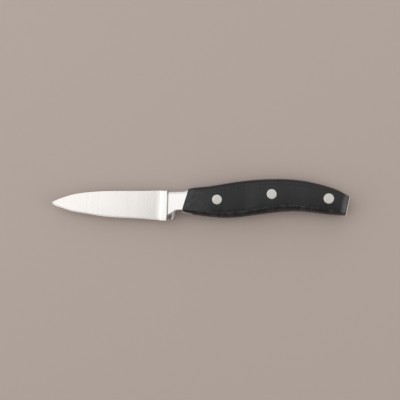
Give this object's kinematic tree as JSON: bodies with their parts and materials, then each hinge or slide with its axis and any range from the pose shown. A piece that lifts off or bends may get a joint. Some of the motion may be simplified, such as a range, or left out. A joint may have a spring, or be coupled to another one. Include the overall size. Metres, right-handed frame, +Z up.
{
  "type": "paring knife",
  "caption": "Small forged paring knife with a slim pointed blade, a bolster with a finger notch and a black riveted handle with a gentle S curve.",
  "frame": {"origin": "under the middle of the knife's outline, on the plane that the lower flat side of the handle rests on", "axes": "+X from the tip towards the butt, +Y from the cutting edge towards the spine, +Z up through the handle's thickness"},
  "size_m": [0.2072, 0.0288, 0.0156],
  "materials": {
    "blade_steel": "satin, with a fine grain across the blade",
    "handle_black": "matte",
    "rivet_metal": "ground flush, satin"
  },
  "bodies": {
    "root": {"forged_blade": "blade_steel", "upper_scale": "handle_black", "lower_scale": "handle_black", "front_rivet_pin": "rivet_metal", "front_rivet_sleeve": "rivet_metal", "middle_rivet_pin": "rivet_metal", "middle_rivet_sleeve": "rivet_metal", "rear_rivet_pin": "rivet_metal", "rear_rivet_sleeve": "rivet_metal"}
  },
  "joints": []
}
